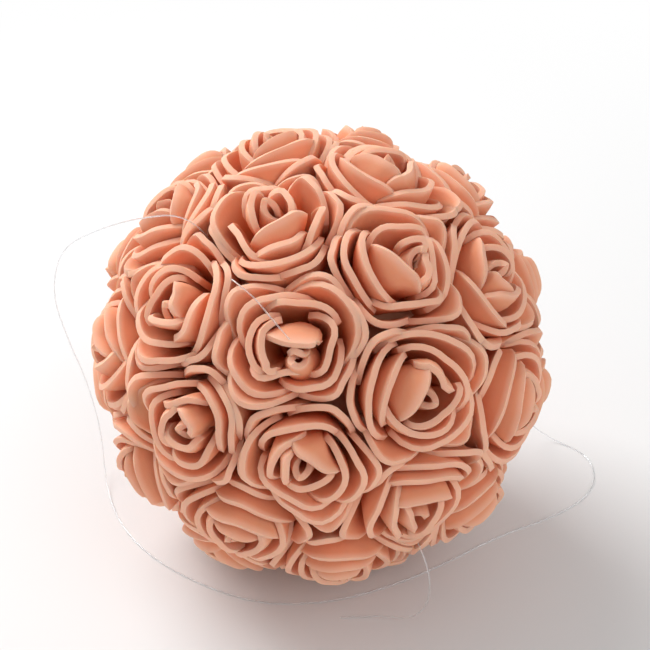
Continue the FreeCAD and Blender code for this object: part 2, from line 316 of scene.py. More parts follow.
@dataclass(frozen=True)
class NylonFinish:
    """Clear drawn nylon, glossy, with faint streaks along it."""

    name: str = "clear_nylon"
    roughness: tuple[float, float] = (0.07, 0.24)

    def build(self) -> bpy.types.Material:
        """Returns the finish as a node material."""
        material = bpy.data.materials.new(self.name)
        material.use_nodes = True
        nodes, links = material.node_tree.nodes, material.node_tree.links
        shader = nodes["Principled BSDF"]
        shader.inputs["Base Color"].default_value = (0.93, 0.94, 0.95, 1.0)
        shader.inputs["Transmission Weight"].default_value = 0.85
        shader.inputs["IOR"].default_value = 1.53
        place = nodes.new("ShaderNodeTexCoord")
        streak = nodes.new("ShaderNodeTexNoise")
        streak.inputs["Scale"].default_value = 400.0
        links.new(place.outputs["Object"], streak.inputs["Vector"])
        rough = add_range(material.node_tree, streak.outputs["Fac"], end=self.roughness)
        links.new(rough, shader.inputs["Roughness"])
        return material


# Roses


@dataclass(frozen=True)
class Petal:
    """One petal of foam sheet, in millimetres and degrees about its rose's axis.

    Heights are measured from the face of the core. The rim radius is the distance of the rim's
    middle from the axis, and the curve radii say how tightly the sheet bends round at its foot and
    along its rim.
    """

    azimuth: float
    rim_radius: float
    rim_height: float
    half_length: float
    rim_curve: float
    belly_radius: float
    foot_radius: float
    foot_curve: float
    drop: float = 0.34
    drop_power: float = 2.6
    creep: float = -0.35
    curl: float = 0.0
    skew: float = 0.0
    wave: float = 0.25
    wave_turn: float = 0.0
    margin: float = 0.8
    foot_height: float = 2.6
    centre: tuple[float, float] = (0.0, 0.0)

    def point(self, across: float, up: float) -> Vector:
        """Place of one point of the petal's middle surface.

        Args:
            across: From -1 at one side edge to 1 at the other.
            up: From 0 at the foot to 1 at the rim.

        Returns:
            The point in the rose's own frame, in millimetres.
        """
        rise = up * (1.0 - self.drop * abs(across) ** self.drop_power)
        widen = 0.62 + 0.38 * math.sin(0.5 * math.pi * min(1.0, rise / 0.7))
        along = across * self.half_length * widen
        bend = 1.0 / self.foot_curve + (1.0 / self.rim_curve - 1.0 / self.foot_curve) * rise
        turn = along * bend
        sideways = math.sin(turn) / bend
        inward = (1.0 - math.cos(turn)) / bend
        knee = self.rim_height * 0.6
        stay = (1.0 - rise) ** 2
        middle = 2.0 * rise * (1.0 - rise)
        reach = stay * self.foot_radius + middle * self.belly_radius + rise**2 * self.rim_radius
        height = stay * self.foot_height + middle * knee + rise**2 * self.rim_height
        reach += self.creep * across + self.curl * rise**3 * abs(across) ** 2.0
        reach += self.wave * rise**2 * math.sin(2.2 * across + self.wave_turn)
        height += self.skew * across * rise
        out = reach - inward
        angle = math.radians(self.azimuth)
        x = self.centre[0] + out * math.cos(angle) - sideways * math.sin(angle)
        y = self.centre[1] + out * math.sin(angle) + sideways * math.cos(angle)
        return Vector((x, y, height))


@dataclass(frozen=True)
class Cell:
    """Room of one rose: the planes half-way to its neighbours, in the rose's own frame.

    The sharpness says how little the corners between two planes are rounded off.
    """

    core_radius: float
    neighbours: tuple[tuple[Vector, float], ...]
    sharpness: float = 56.0
    open_room: float = 99.0
    turn_step: float = 3.0

    def room(self, point: Vector) -> float:
        """How far from the axis a point may lie in its own direction.

        Args:
            point: A point in the rose's frame, in millimetres.

        Returns:
            The distance from the axis to the nearest shared plane, in millimetres.
        """
        wide = math.hypot(point.x, point.y)
        if wide < 1e-6:
            return self.open_room
        level = self.core_radius + point.z
        total = 0.0
        for toward, lead in self.neighbours:
            along = (toward.x * point.x + toward.y * point.y) / wide
            if along > 0.05:
                share = level * (1.0 - toward.z) / along + lead
                total += share ** -self.sharpness
        return total ** (-1.0 / self.sharpness) if total > 0.0 else self.open_room

    def excess(self, point: Vector, margin: float) -> float:
        """Says how far a point has to move towards the axis to leave its neighbours their room.

        Args:
            point: The point.
            margin: Distance to keep from the shared planes.

        Returns:
            The distance, or zero.
        """
        return max(0.0, math.hypot(point.x, point.y) - self.room(point) + margin)

    def corners(self, height: float) -> list[tuple[float, float]]:
        """Finds where the room reaches furthest, between two neighbours each time.

        Args:
            height: Height above the core, in millimetres.

        Returns:
            The azimuth in degrees and the room of each corner.
        """
        rooms = []
        for step in range(round(360.0 / self.turn_step)):
            angle = math.radians(self.turn_step * step)
            rooms.append(self.room(Vector((math.cos(angle), math.sin(angle), height))))
        found = []
        for step, here in enumerate(rooms):
            before, after = rooms[step - 1], rooms[(step + 1) % len(rooms)]
            if here >= before and here > after:
                found.append((self.turn_step * step, here))
        return found


@dataclass
class Nest:
    """How far out the petals laid so far reach, round a rose's axis and up its height, in millimetres."""

    turns: int = 90
    levels: int = 44
    step: float = 0.5
    rises: tuple[float, ...] = (0.0, 0.33, 0.67, 1.0)
    steps_across: tuple[float, ...] = (0.0, 0.25, 0.5, 0.75, 1.0)
    heart: tuple[float, float] = (0.0, 0.0)
    reach: list[list[float]] = field(default_factory=list)

    def __post_init__(self) -> None:
        """Starts with nothing laid."""
        self.reach = [[0.0] * self.turns for _ in range(self.levels)]

    def slot(self, x: float, y: float, z: float) -> tuple[int, int]:
        """Finds the pocket of the table that a point falls in.

        Args:
            x: Distance to the rose's right.
            y: Distance upwards on the ball.
            z: Height above the core.

        Returns:
            The level's and the turn's numbers.
        """
        level = min(self.levels - 1, max(0, round(z / self.step)))
        turn = round(math.atan2(y - self.heart[1], x - self.heart[0]) / math.tau * self.turns) % self.turns
        return level, turn

    def lack(self, point: Vector, clear: float) -> float:
        """Says how far a point has to move outwards to clear the petals already laid.

        Args:
            point: The point.
            clear: Distance to keep from them.

        Returns:
            The distance, or zero.
        """
        level, turn = self.slot(point.x, point.y, point.z)
        taken = self.reach[level][turn]
        if taken <= 0.0:
            return 0.0
        return max(0.0, taken + clear - self.wide(point))

    def wide(self, point: Vector) -> float:
        """Returns how far a point lies from the heart, in millimetres."""
        return math.hypot(point.x - self.heart[0], point.y - self.heart[1])

    def push(self, point: Vector, by: float) -> None:
        """Moves a point straight away from the heart.

        Args:
            point: The point, which is changed.
            by: How far.
        """
        scale = 1.0 + by / max(0.5, self.wide(point))
        point.x = self.heart[0] + (point.x - self.heart[0]) * scale
        point.y = self.heart[1] + (point.y - self.heart[1]) * scale

    def lay(self, sheet: list[list[Vector]]) -> None:
        """Adds one petal's surface.

        Args:
            sheet: Rows of points from foot to rim.
        """
        for low, high in zip(sheet, sheet[1:]):
            for column in range(len(low) - 1):
                for rise in self.rises:
                    left = low[column].lerp(high[column], rise)
                    right = low[column + 1].lerp(high[column + 1], rise)
                    for along in self.steps_across:
                        spot = left.lerp(right, along)
                        level, turn = self.slot(spot.x, spot.y, spot.z)
                        self.reach[level][turn] = max(self.reach[level][turn], self.wide(spot))


def eased(values: list[list[float]], along: int, up: int) -> list[list[float]]:
    """Spreads pushes over a petal so that the sheet bends instead of folding.

    Each value becomes the mean of the largest values near it, so it never falls below what it was.

    Args:
        values: One push for each point, in rows.
        along: How many columns to either side take part.
        up: How many rows below and above take part.

    Returns:
        The eased pushes.
    """
    def line(row: list[float], reach: int) -> list[float]:
        last = len(row) - 1
        peaks = [max(row[max(0, i - reach) : i + reach + 1]) for i in range(last + 1)]
        steps = range(-reach, reach + 1)
        return [
            sum(peaks[min(last, max(0, i + step))] for step in steps) / len(steps)
            for i in range(last + 1)
        ]

    across = [line(row, along) for row in values]
    columns = [line(list(column), up) for column in zip(*across)]
    return [list(row) for row in zip(*columns)]


@dataclass(frozen=True)
class Cut:
    """How the petals of one layer are cut and bent, in millimetres."""

    heart_share: float
    belly: float
    belly_share: float
    drop: float
    curl: float


CUTS: dict[Layer, Cut] = {
    Layer.HEART: Cut(heart_share=1.0, belly=7.2, belly_share=0.6, drop=0.22, curl=0.0),
    Layer.CUP: Cut(heart_share=0.55, belly=4.6, belly_share=0.62, drop=0.36, curl=0.2),
    Layer.SKIRT: Cut(heart_share=0.15, belly=6.9, belly_share=0.38, drop=0.48, curl=0.4),
}


@dataclass(frozen=True)
class Whorl:
    """One line of a rose's plan: a petal's place and bend, in millimetres and degrees.

    The lean moves the petal's belly outwards, so that the petal leans over the heart.
    """

    layer: Layer
    azimuth: float
    rim_radius: float
    half_length: float
    rim_curve: float
    rim_height: float
    lean: float = 0.0

    def petal(self, heart: tuple[float, float], dice: random.Random, play: float, margin: float) -> Petal:
        """Works out the whole petal from its line.

        Args:
            heart: Where the rose's bud stands.
            dice: Source of the small differences between petals.
            play: How large these differences are.
            margin: How far the petal stays inside the neighbours' planes.

        Returns:
            The petal.
        """
        cut = CUTS[self.layer]
        radius = self.rim_radius + play * dice.uniform(-0.3, 0.3)
        foot = 3.0 + 0.4 * radius
        return Petal(
            azimuth=self.azimuth + play * dice.uniform(-9, 9),
            rim_radius=radius,
            rim_height=self.rim_height + play * dice.uniform(-0.5, 0.5),
            half_length=self.half_length * (1.0 + play * dice.uniform(-0.07, 0.07)),
            rim_curve=self.rim_curve * (1.0 + play * dice.uniform(-0.1, 0.12)),
            belly_radius=cut.belly + cut.belly_share * radius + self.lean,
            foot_radius=foot,
            foot_curve=max(3.0, foot * 0.95),
            drop=cut.drop,
            drop_power=3.0,
            curl=cut.curl * dice.uniform(0.5, 1.3),
            skew=dice.uniform(-0.6, 0.6),
            wave=dice.uniform(0.1, 0.4),
            wave_turn=dice.uniform(-3.1, 3.1),
            margin=margin,
            centre=(cut.heart_share * heart[0], cut.heart_share * heart[1]),
        )


@dataclass(frozen=True)
class Plan:
    """A rose's plan: where its bud stands, and its petals from the heart outwards."""

    whorls: tuple[Whorl, ...]
    heart: tuple[float, float] = (0.0, 0.0)
    play: float = 0.3


def plain_plan(spin: float) -> Plan:
    """Lays out a plain rose, whose petals wind outwards from the heart.

    Args:
        spin: Azimuth of the first petal, in degrees.

    Returns:
        The plan.
    """
    rings = (
        (Layer.HEART, 0.0, 3.2, 7.4, 20.0, 19.4),
        (Layer.HEART, 128.0, 3.6, 7.4, 9.0, 19.0),
        (Layer.HEART, 240.0, 4.8, 8.8, 8.0, 18.5),
        (Layer.CUP, 358.0, 7.0, 10.8, 9.4, 17.9),
        (Layer.CUP, 480.0, 9.0, 12.4, 11.0, 17.2),
        (Layer.CUP, 596.0, 10.8, 13.4, 12.6, 16.5),
        (Layer.SKIRT, 704.0, 12.6, 14.2, 14.2, 15.7),
        (Layer.SKIRT, 820.0, 13.8, 14.6, 15.6, 15.0),
        (Layer.SKIRT, 932.0, 15.0, 14.8, 16.4, 14.4),
    )
    return Plan(tuple(Whorl(layer, spin + turn, *rest) for layer, turn, *rest in rings), play=1.0)


def shown_plan(heart: tuple[float, float], *rows: tuple[Layer | float, ...]) -> Plan:
    """Makes the plan of a rose that the photograph shows well.

    Args:
        heart: Where its bud stands.
        rows: The values of its whorls, from the heart outwards.

    Returns:
        The plan.
    """
    return Plan(tuple(Whorl(*row) for row in rows), heart)


HEART, CUP, SKIRT = Layer.HEART, Layer.CUP, Layer.SKIRT

# Roses in front, from the middle one outwards, each petal with its layer, azimuth, rim radius,
# half length, rim curve, rim height and, where it has one, its lean
FRONT_PLANS: dict[str, Plan] = {
    "rose_01": shown_plan(
        (1.4, -4.6),
        (HEART, -62, 4.4, 7.6, 6.6, 18.4),
        (HEART, 88, 3.8, 9.2, 60, 19.0, 4.0),
        (HEART, 172, 6.4, 8.0, 8.0, 18.2),
        (CUP, 180, 8.8, 9.5, 8.0, 17.6),
        (CUP, -112, 9.4, 9.0, 9.0, 16.8),
        (CUP, 8, 11.2, 12.6, 9.8, 16.8),
        (CUP, 84, 10.8, 8.6, 14.0, 17.0),
        (SKIRT, 132, 13.6, 13.0, 12.5, 15.4),
        (SKIRT, -50, 14.2, 13.0, 13.0, 15.0),
        (SKIRT, -142, 14.8, 10.5, 13.0, 14.8),
        (SKIRT, 35, 15.6, 15.0, 14.5, 15.0),
    ),
    "rose_02": shown_plan(
        (-1.2, 0.4),
        (HEART, 60, 5.4, 8.6, 6.5, 18.8),
        (HEART, -165, 4.2, 7.0, 7.0, 18.8),
        (HEART, -42, 5.6, 8.6, 30, 18.6, 2.5),
        (CUP, 135, 9.6, 8.6, 10.0, 17.0),
        (CUP, -48, 11.0, 8.8, 24, 16.6),
        (CUP, -118, 10.8, 8.6, 11.0, 16.4),
        (SKIRT, 5, 12.2, 9.0, 14.0, 15.8),
        (SKIRT, 70, 14.4, 9.0, 13.0, 15.4),
        (SKIRT, -60, 14.0, 13.5, 15.0, 15.0),
        (SKIRT, -172, 15.6, 12.0, 14.0, 14.8),
    ),
    "rose_03": shown_plan(
        (4.0, 0.0),
        (HEART, 58, 4.2, 7.8, 5.0, 19.0),
        (HEART, -52, 4.8, 7.8, 8.0, 18.8),
        (HEART, -160, 5.4, 9.0, 34, 18.8, 2.5),
        (CUP, -20, 8.2, 11.0, 9.5, 17.2),
        (CUP, 74, 9.8, 10.0, 13.0, 16.8),
        (CUP, 172, 11.2, 11.5, 13.0, 16.6),
        (SKIRT, -95, 12.6, 12.6, 13.0, 15.4),
        (SKIRT, -18, 13.8, 12.0, 13.5, 15.2),
        (SKIRT, 160, 14.2, 13.0, 15.0, 14.8),
        (SKIRT, 72, 14.8, 13.0, 15.0, 14.8),
    ),
    "rose_04": shown_plan(
        (-2.4, 3.0),
        (HEART, 205, 4.2, 7.4, 12.0, 19.0),
        (HEART, 20, 4.6, 7.0, 7.0, 18.8),
        (HEART, -108, 5.6, 8.0, 14.0, 18.4),
        (CUP, 122, 8.2, 8.6, 8.0, 17.4),
        (CUP, 10, 9.4, 11.0, 11.0, 16.8),
        (CUP, -70, 10.6, 12.0, 12.0, 16.4),
        (SKIRT, 190, 12.4, 13.0, 13.0, 15.6),
        (SKIRT, -118, 13.4, 11.0, 14.0, 15.2),
        (SKIRT, 80, 14.4, 13.0, 14.0, 14.8),
    ),
    "rose_05": shown_plan(
        (3.6, -0.6),
        (HEART, 52, 4.6, 7.8, 7.0, 19.0),
        (HEART, -82, 4.2, 7.8, 6.0, 18.8),
        (HEART, 168, 5.2, 7.6, 9.0, 18.4),
        (CUP, 140, 8.2, 9.0, 8.5, 17.4),
        (CUP, -5, 9.4, 9.6, 10.0, 16.8),
        (CUP, -110, 10.2, 12.0, 12.0, 16.4),
        (SKIRT, 180, 12.0, 12.0, 13.0, 15.6),
        (SKIRT, 120, 13.8, 11.0, 14.0, 15.2),
        (SKIRT, 20, 14.6, 14.0, 15.0, 15.0),
        (SKIRT, -80, 14.8, 14.0, 15.0, 14.6),
    ),
    "rose_06": shown_plan(
        (0.8, -0.8),
        (HEART, 140, 2.8, 8.2, 40, 19.2, 2.5),
        (HEART, 50, 4.0, 5.4, 12.0, 18.8),
        (HEART, -70, 4.6, 8.8, 8.0, 18.6),
        (CUP, -112, 7.4, 11.6, 9.0, 17.4),
        (CUP, 150, 9.8, 10.0, 14.0, 17.0),
        (CUP, 30, 9.8, 12.0, 11.0, 16.6),
        (SKIRT, -60, 12.2, 13.6, 14.0, 15.8),
        (SKIRT, 165, 13.4, 14.0, 15.0, 15.2),
        (SKIRT, 50, 14.6, 14.6, 16.0, 14.6),
    ),
    "rose_07": shown_plan(
        (2.4, 1.2),
        (HEART, 48, 4.0, 7.4, 26, 19.2),
        (HEART, -95, 4.0, 7.8, 7.0, 18.8),
        (HEART, 165, 4.8, 7.8, 8.0, 18.6),
        (CUP, 112, 7.6, 8.0, 9.0, 17.4),
        (CUP, -68, 9.0, 10.4, 10.0, 16.8),
        (CUP, 200, 10.2, 11.4, 11.5, 16.4),
        (SKIRT, 30, 12.2, 13.0, 13.5, 15.8),
        (SKIRT, 140, 13.4, 13.6, 15.0, 15.2),
        (SKIRT, -95, 14.2, 13.6, 15.0, 14.8),
        (SKIRT, 26, 15.2, 13.0, 15.0, 14.6),
    ),
    "rose_08": shown_plan(
        (-1.6, 1.6),
        (HEART, 168, 3.4, 6.4, 12.0, 19.2),
        (HEART, -72, 4.4, 8.0, 12.0, 18.8),
        (HEART, 50, 3.8, 8.0, 34, 19.0, 2.5),
        (CUP, 150, 7.8, 9.6, 9.0, 17.4),
        (CUP, -20, 9.4, 11.4, 11.0, 16.8),
        (CUP, -120, 10.2, 11.6, 11.5, 16.4),
        (SKIRT, 104, 13.0, 12.6, 13.0, 15.8),
        (SKIRT, -5, 13.6, 13.0, 15.0, 15.4),
        (SKIRT, -100, 14.4, 13.6, 15.0, 14.8),
        (SKIRT, 175, 14.8, 12.0, 15.0, 14.6),
    ),
}


@dataclass(frozen=True)
class Bud:
    """Small sheet at a rose's heart, rolled to a pointed hood, in millimetres and degrees."""

    foot: float = 8.0
    tip: float = 19.4
    fall: float = 4.6
    fall_power: float = 1.4
    radius: float = 3.3
    spread: float = 0.9
    taper: float = 0.8
    taper_power: float = 1.5
    columns: int = 22
    rows: int = 6

    def sheet(self, heart: tuple[float, float], dice: random.Random) -> list[list[Vector]]:
        """Rolls the sheet.

        Args:
            heart: Where the bud stands.
            dice: Source of the small differences between buds.

        Returns:
            Rows of points from foot to rim.
        """
        half_turn = dice.uniform(160.0, 185.0)
        start = dice.uniform(0.0, 360.0)
        rows = []
        for row in range(self.rows + 1):
            line = []
            for column in range(self.columns + 1):
                along = 2 * column / self.columns - 1.0
                angle = math.radians(start + half_turn * along)
                top = self.tip - self.fall * abs(along) ** self.fall_power
                height = self.foot + (top - self.foot) * row / self.rows
                rise = (height - self.foot) / (self.tip - self.foot)
                radius = (self.radius + self.spread * along) * (1.0 - self.taper * rise**self.taper_power)
                x = heart[0] + radius * math.cos(angle)
                y = heart[1] + radius * math.sin(angle)
                line.append(Vector((x, y, height)))
            rows.append(line)
        return rows


@dataclass
class Rose:
    """One foam rose: a bud and petals that wind outwards from it, in millimetres and degrees.

    The outermost petal of the plan keeps rim_margin from the neighbours' planes, and each one further
    in keeps margin_step more.
    """

    node: str
    centre: Vector
    axis: Vector
    cell: Cell
    plan: Plan
    seed: int
    sheet: float = 1.5
    clear: float = 0.15
    rim_margin: float = 1.9
    margin_step: float = 0.95
    corner_height: float = 13.2
    # Where the bud's foot starts on the painted-light mask, so that it gets less painted crease shade than a
    # petal's foot.
    bud_reach: float = 0.35
    columns: int = 14
    rows: int = 8
    rim_round: float = 0.5
    rim_segments: int = 3
    rim_angle: float = 52.0

    def placement(self) -> Matrix:
        """Returns the matrix from the rose's own frame, in millimetres, to the object's, in metres."""
        north = (Vector((0, 0, 1)) - self.axis * self.axis.z).normalized()
        east = north.cross(self.axis)
        turned = Matrix((east, north, self.axis)).transposed().to_4x4()
        seat = self.centre + self.axis * self.cell.core_radius * MM
        return Matrix.Translation(seat) @ turned @ Matrix.Scale(MM, 4)

    def lay_out(self) -> list[Petal]:
        """Works out the rose's petals from its plan, from the heart outwards."""
        dice = random.Random(self.seed)
        last, heart = len(self.plan.whorls) - 1, self.plan.heart
        petals = [
            whorl.petal(heart, dice, self.plan.play, self.rim_margin + self.margin_step * (last - index))
            for index, whorl in enumerate(self.plan.whorls)
        ]
        return petals + self.corner_petals(dice)

    def corner_petals(self, dice: random.Random) -> list[Petal]:
        """Lays the lowest petals, one into each corner between two neighbouring roses.

        Args:
            dice: Source of the small differences between petals.

        Returns:
            The petals.
        """
        corners = self.cell.corners(self.corner_height)
        dice.shuffle(corners)
        return [
            Petal(
                azimuth=azimuth + dice.uniform(-7, 7),
                rim_radius=room - dice.uniform(0.0, 0.8),
                rim_height=self.corner_height + dice.uniform(-0.9, 1.1),
                half_length=dice.uniform(9.0, 10.4),
                rim_curve=dice.uniform(8.0, 10.0),
                belly_radius=12.6,
                foot_radius=9.6,
                foot_curve=10.0,
                drop=0.5,
                curl=0.6,
                wave=dice.uniform(0.1, 0.5),
                wave_turn=dice.uniform(-3.1, 3.1),
            )
            for azimuth, room in corners
        ]

    def wrapped(self, petal: Petal, nest: Nest) -> list[list[Vector]]:
        """Bends a petal round the petals inside it and keeps it off the neighbouring roses.

        Args:
            petal: The petal.
            nest: The petals laid so far.

        Returns:
            Rows of points from foot to rim.
        """
        ups = [row / self.rows for row in range(self.rows + 1)]
        sides = [-1.0 + 2.0 * column / self.columns for column in range(self.columns + 1)]
        sheet = [[petal.point(side, up) for side in sides] for up in ups]
        lacks = [[nest.lack(spot, self.sheet + self.clear) for spot in row] for row in sheet]
        for row, pushes in zip(sheet, eased(lacks, 2, 1)):
            for spot, push in zip(row, pushes):
                nest.push(spot, push)
        over = [[self.cell.excess(spot, petal.margin) for spot in row] for row in sheet]
        for row, pulls in zip(sheet, eased(over, 1, 1)):
            for spot, pull in zip(row, pulls):
                wide = max(0.5, math.hypot(spot.x, spot.y))
                spot.xy = spot.xy * (max(1.0, wide - pull) / wide)
        return sheet

    def add_sheet(
        self,
        work: bmesh.types.BMesh,
        sheet: list[list[Vector]],
        reach: bmesh.types.BMLayerItem,
        base: float = 0.0,
    ) -> None:
        """Adds one petal's middle surface.

        Args:
            work: The rose's mesh.
            sheet: Rows of points from foot to rim.
            reach: Layer that keeps how far up its petal a point lies; it drives the painted crease shade and
                rim highlight.
            base: Value of that layer at the foot.
        """
        rows, columns = len(sheet) - 1, len(sheet[0]) - 1
        made = bmesh.ops.create_grid(work, x_segments=columns, y_segments=rows, size=1.0)
        for vertex in made["verts"]:
            column = round((vertex.co.x + 1.0) / 2 * columns)
            row = round((vertex.co.y + 1.0) / 2 * rows)
            vertex[reach] = base + (1.0 - base) * row / rows
            vertex.co = sheet[row][column]

    def press_flat(self, work: bmesh.types.BMesh) -> None:
        """Presses the sheets that would dip into the floor flat on it.

        Args:
            work: The rose's mesh, in its place on the ball.
        """
        lowest = self.sheet / 2 * MM
        for vertex in work.verts:
            vertex.co.z = max(vertex.co.z, lowest)

    def build(self, finish: bpy.types.Material) -> bpy.types.Object:
        """Makes the rose as one object.

        Args:
            finish: Material of the foam.

        Returns:
            The object, placed on the ball through its mesh.
        """
        petals = self.lay_out()
        work = bmesh.new()
        reach = work.verts.layers.float.new("reach")
        nest = Nest(heart=self.plan.heart)
        bud = Bud().sheet(self.plan.heart, random.Random(self.seed + BUD_SEED))
        nest.lay(bud)
        self.add_sheet(work, bud, reach, self.bud_reach)
        for petal in petals:
            sheet = self.wrapped(petal, nest)
            nest.lay(sheet)
            self.add_sheet(work, sheet, reach)
        bmesh.ops.transform(work, matrix=self.placement(), verts=work.verts)
        self.press_flat(work)
        for face in work.faces:
            face.smooth = True
        mesh = bpy.data.meshes.new(self.node + "_foam")
        work.to_mesh(mesh)
        work.free()
        mesh.materials.append(finish)
        piece = add_object(self.node + "_foam", mesh)
        wall = piece.modifiers.new("sheet", "SOLIDIFY")
        wall.thickness = self.sheet * MM
        wall.offset = 0.0
        round_rim = piece.modifiers.new("soft_rim", "BEVEL")
        round_rim.width = self.rim_round * MM
        round_rim.segments = self.rim_segments
        round_rim.limit_method = "ANGLE"
        round_rim.angle_limit = math.radians(self.rim_angle)
        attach(piece, ROOT)
        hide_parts(self.node)
        return piece


def rose_names() -> list[str]:
    """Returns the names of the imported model's roses, in order."""
    return sorted(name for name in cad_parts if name.startswith("rose_"))


@dataclass
class RoseBall:
    """All roses of the ball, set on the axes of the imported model's stems.

    Where two roses meet, one of them takes a lead in millimetres over the plane half-way between them.
    """

    rose_nodes: list[str] = field(default_factory=rose_names)
    lead: float = 0.9
    stem_search: float = 8.0
    neighbour_search: float = 62.0

    def centre(self) -> Vector:
        """Returns the middle of the foam core."""
        low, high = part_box("foam_core")
        return (low + high) / 2

    def core_radius(self) -> float:
        """Returns the core's radius in millimetres."""
        low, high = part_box("foam_core")
        return (high.x - low.x) / 2 / MM

    def axes(self) -> dict[str, Vector]:
        """Finds each rose's axis: the stem nearest to the middle of the rose's solids.

        Returns:
            A unit vector from the ball's centre for each rose node.
        """
        centre = self.centre()
        wires = [(v.co - centre).normalized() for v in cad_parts["wire_stems"].data.vertices]
        found: dict[str, Vector] = {}
        for name in self.rose_nodes:
            total = Vector((0, 0, 0))
            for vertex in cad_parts[name].data.vertices:
                total += vertex.co - centre
            rough = total.normalized()
            near = [way for way in wires if way.dot(rough) > math.cos(math.radians(self.stem_search))]
            middle = Vector((0, 0, 0))
            for way in near:
                middle += way
            found[name] = middle.normalized()
        return found

    def cell(self, name: str, axes: dict[str, Vector]) -> Cell:
        """Works out one rose's room among its neighbours.

        Args:
            name: The rose's node.
            axes: Axes of all roses.

        Returns:
            The rose's cell, in its own frame.
        """
        axis = axes[name]
        north = (Vector((0, 0, 1)) - axis * axis.z).normalized()
        east = north.cross(axis)
        planes = []
        nearby = math.cos(math.radians(self.neighbour_search))
        for other, way in axes.items():
            if other != name and way.dot(axis) > nearby:
                wins = (int(name[-2:]) * 7 + int(other[-2:]) * 3) % 2 == (name > other)
                local = Vector((way.dot(east), way.dot(north), way.dot(axis)))
                planes.append((local, self.lead if wins else -self.lead))
        return Cell(self.core_radius(), tuple(planes))

    def build(self, finish: bpy.types.Material) -> list[bpy.types.Object]:
        """Makes every rose.

        Args:
            finish: Material of the foam.

        Returns:
            The roses' objects.
        """
        axes = self.axes()
        pieces = []
        for index, name in enumerate(self.rose_nodes):
            plan = FRONT_PLANS.get(name) or plain_plan(SPINS.get(name, HIDDEN_TURN * index))
            cell = self.cell(name, axes)
            rose = Rose(name, self.centre(), axes[name], cell, plan, FIRST_SEED + index)
            pieces.append(rose.build(finish))
            log.info("%s: %d petals in its plan", name, len(plan.whorls))
        return pieces


# Azimuth of the first petal of the other roses that can be seen, rose_09 to rose_26, in degrees
SHOWN_SPINS = (150, 200, 80, 100, 120, 60, 170, 250, 20, 130, 310, 30, 200, 300, 70, 160, 10, 240)
SPINS: dict[str, float] = {f"rose_{number:02d}": spin for number, spin in enumerate(SHOWN_SPINS, 9)}
HIDDEN_TURN = 137.5


# Thread


@dataclass(frozen=True)
class Thread:
    """One free stretch of the clear thread, along its route's points in millimetres."""

    node: str
    route: tuple[Vector, ...]
    length: float
    far_end: str
    diameter: float = 0.35

    def build(self, finish: bpy.types.Material) -> bpy.types.Object:
        """Args:
            finish: The thread's material.

        Returns:
            The curve's object.
        """
        data = bpy.data.curves.new(self.node + "_line", "CURVE")
        data.dimensions = "3D"
        data.bevel_depth = self.diameter / 2 * MM
        data.bevel_resolution = 3
        data.resolution_u = 10
        data.use_fill_caps = True
        spline = data.splines.new("NURBS")
        spline.points.add(len(self.route) - 1)
        for spot, place in zip(spline.points, self.route):
            spot.co = (*place, 1.0)
        spline.order_u = 3
        spline.use_endpoint_u = True
        data.materials.append(finish)
        piece = add_object(self.node + "_line", data)
        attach(piece, ROOT)
        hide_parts(self.node)
        log.info("%s: %.1f mm", self.node, self.length)
        return piece


# Camera and light


@dataclass(frozen=True)
class View:
    """Camera at the photograph's angle: from the front, looking down on the ball."""

    elevation: float = 32.4
    distance: float = 417.0
    focal_pixels: float = 1620.0
    picture_size: float = 650.0
    ball_pixel: tuple[float, float] = (320.5, 353.0)

    def build(self, centre: Vector) -> bpy.types.Object:
        """Makes the scene's camera.

        Args:
            centre: Middle of the ball.

        Returns:
            The camera.
        """
        slope = math.radians(self.elevation)
        back = Vector((0.0, -math.cos(slope), math.sin(slope)))
        right = Vector((1.0, 0.0, 0.0))
        up = back.cross(right)
        half = self.picture_size / 2
        scale = self.distance * MM / self.focal_pixels
        aim = centre + right * (half - self.ball_pixel[0]) * scale + up * (self.ball_pixel[1] - half) * scale
        data = bpy.data.cameras.new("photo_view")
        data.sensor_width = 36.0
        data.lens = 36.0 * self.focal_pixels / self.picture_size
        data.clip_start = 0.01
        camera = add_object("photo_view", data)
        camera.location = centre + back * self.distance * MM
        camera.rotation_euler = (aim - camera.location).to_track_quat("-Z", "Y").to_euler()
        bpy.context.scene.camera = camera
        return camera


@dataclass(frozen=True)
class Lamp:
    """One soft square lamp, placed from the ball's middle in metres, with its power in watts."""

    name: str
    place: tuple[float, float, float]
    size: float
    power: float

    def build(self, centre: Vector) -> None:
        """Hangs the lamp.

        Args:
            centre: Middle of the ball, which the lamp points at.
        """
        data = bpy.data.lights.new(self.name, "AREA")
        data.size = self.size
        data.energy = self.power
        lamp = add_object(self.name, data)
        lamp.location = centre + Vector(self.place)
        lamp.rotation_euler = (centre - lamp.location).to_track_quat("-Z", "Y").to_euler()


